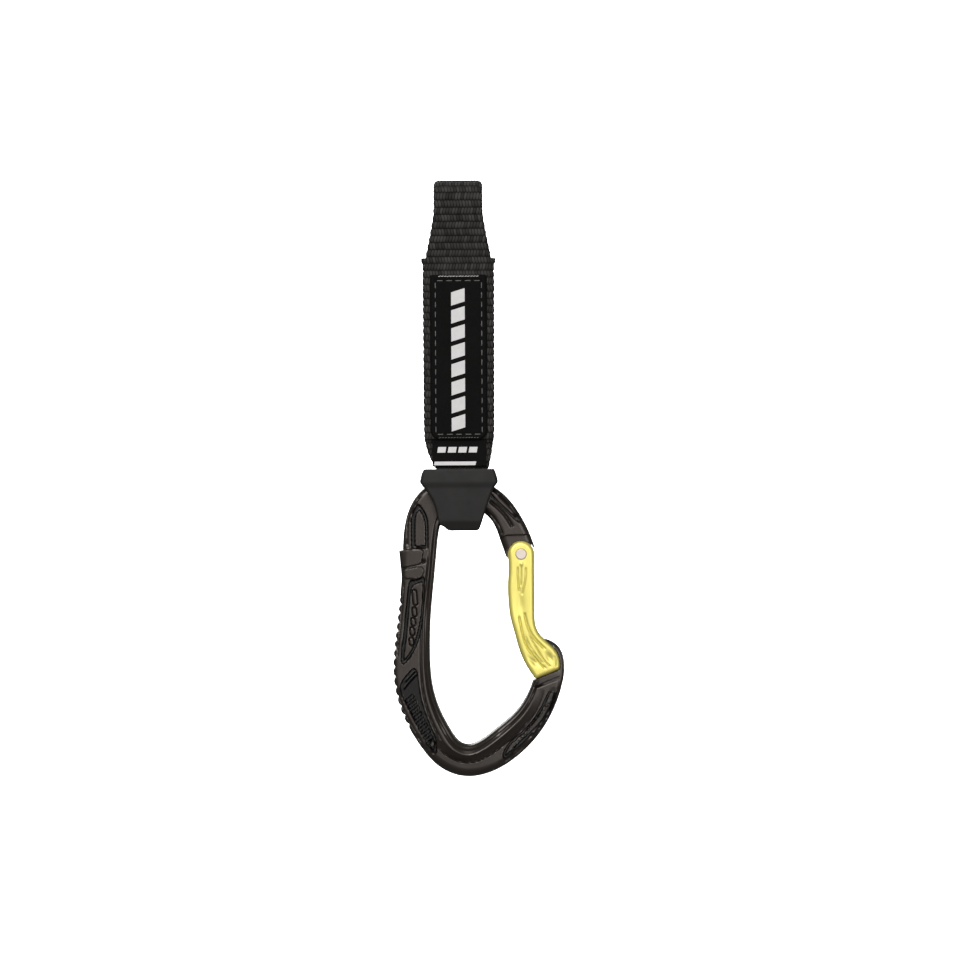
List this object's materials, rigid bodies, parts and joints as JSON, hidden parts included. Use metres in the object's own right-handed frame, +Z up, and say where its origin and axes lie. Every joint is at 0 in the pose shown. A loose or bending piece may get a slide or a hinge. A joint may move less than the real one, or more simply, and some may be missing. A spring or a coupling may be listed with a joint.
{
  "type": "climbing quickdraw",
  "caption": "Sewn webbing sling with an open eye above and a bent-gate carabiner held captive by a rubber keeper below.",
  "frame": {"origin": "where the upper carabiner bears, at the top of the inside of the sling's open eye", "axes": "+Z up along the hanging sling, +X across the webbing towards the gate, -Y towards the labelled front face"},
  "size_m": [0.0606, 0.0202, 0.2114],
  "materials": {
    "webbing": "black polyamide webbing, matt with lighter ribs",
    "label": "tightly woven black tape, printed",
    "thread": "charcoal sewing thread",
    "keeper_rubber": "black moulded rubber, matt",
    "body_anodised": "forged aluminium, dark brown anodised, semi-gloss",
    "gate_anodised": "aluminium, pale yellow-green anodised, satin",
    "steel": "bare stainless steel"
  },
  "bodies": {
    "sling": {"sling_webbing": "webbing", "label_patch": "label", "label_stitching": "thread", "bar_tack_upper": "thread", "bar_tack_middle_upper": "thread", "bar_tack_middle_lower": "thread", "bar_tack_lower": "thread", "care_tag": "label", "rubber_keeper": "keeper_rubber"},
    "carabiner": {"carabiner_body": "body_anodised", "gate_rivet": "steel"},
    "gate": {"gate": "gate_anodised", "gate_spring": "steel"},
    "plunger": {"gate_plunger": "steel"}
  },
  "joints": [
    {"name": "carabiner_swing", "type": "hinge", "parent": "sling", "child": "carabiner", "pos_m": [0, 0, -0.10888], "axis": [1, 0, 0], "range_deg": [-15, 15]},
    {"name": "gate_hinge", "type": "hinge", "parent": "carabiner", "child": "gate", "pos_m": [0.0217, 0, -0.13068], "axis": [0, 1, 0], "range_deg": [0, 35], "stiffness_Nm_per_rad": 0.25, "springref_deg": -34.38, "deforming": ["gate_spring"]},
    {"name": "plunger_slide", "type": "slide", "parent": "gate", "child": "plunger", "axis": [0, 0, -1], "range_m": [0, 0.001]}
  ],
  "couplings": [
    {"joint": "plunger_slide", "follows": "gate_hinge", "m_per_rad": 0.0016}
  ]
}
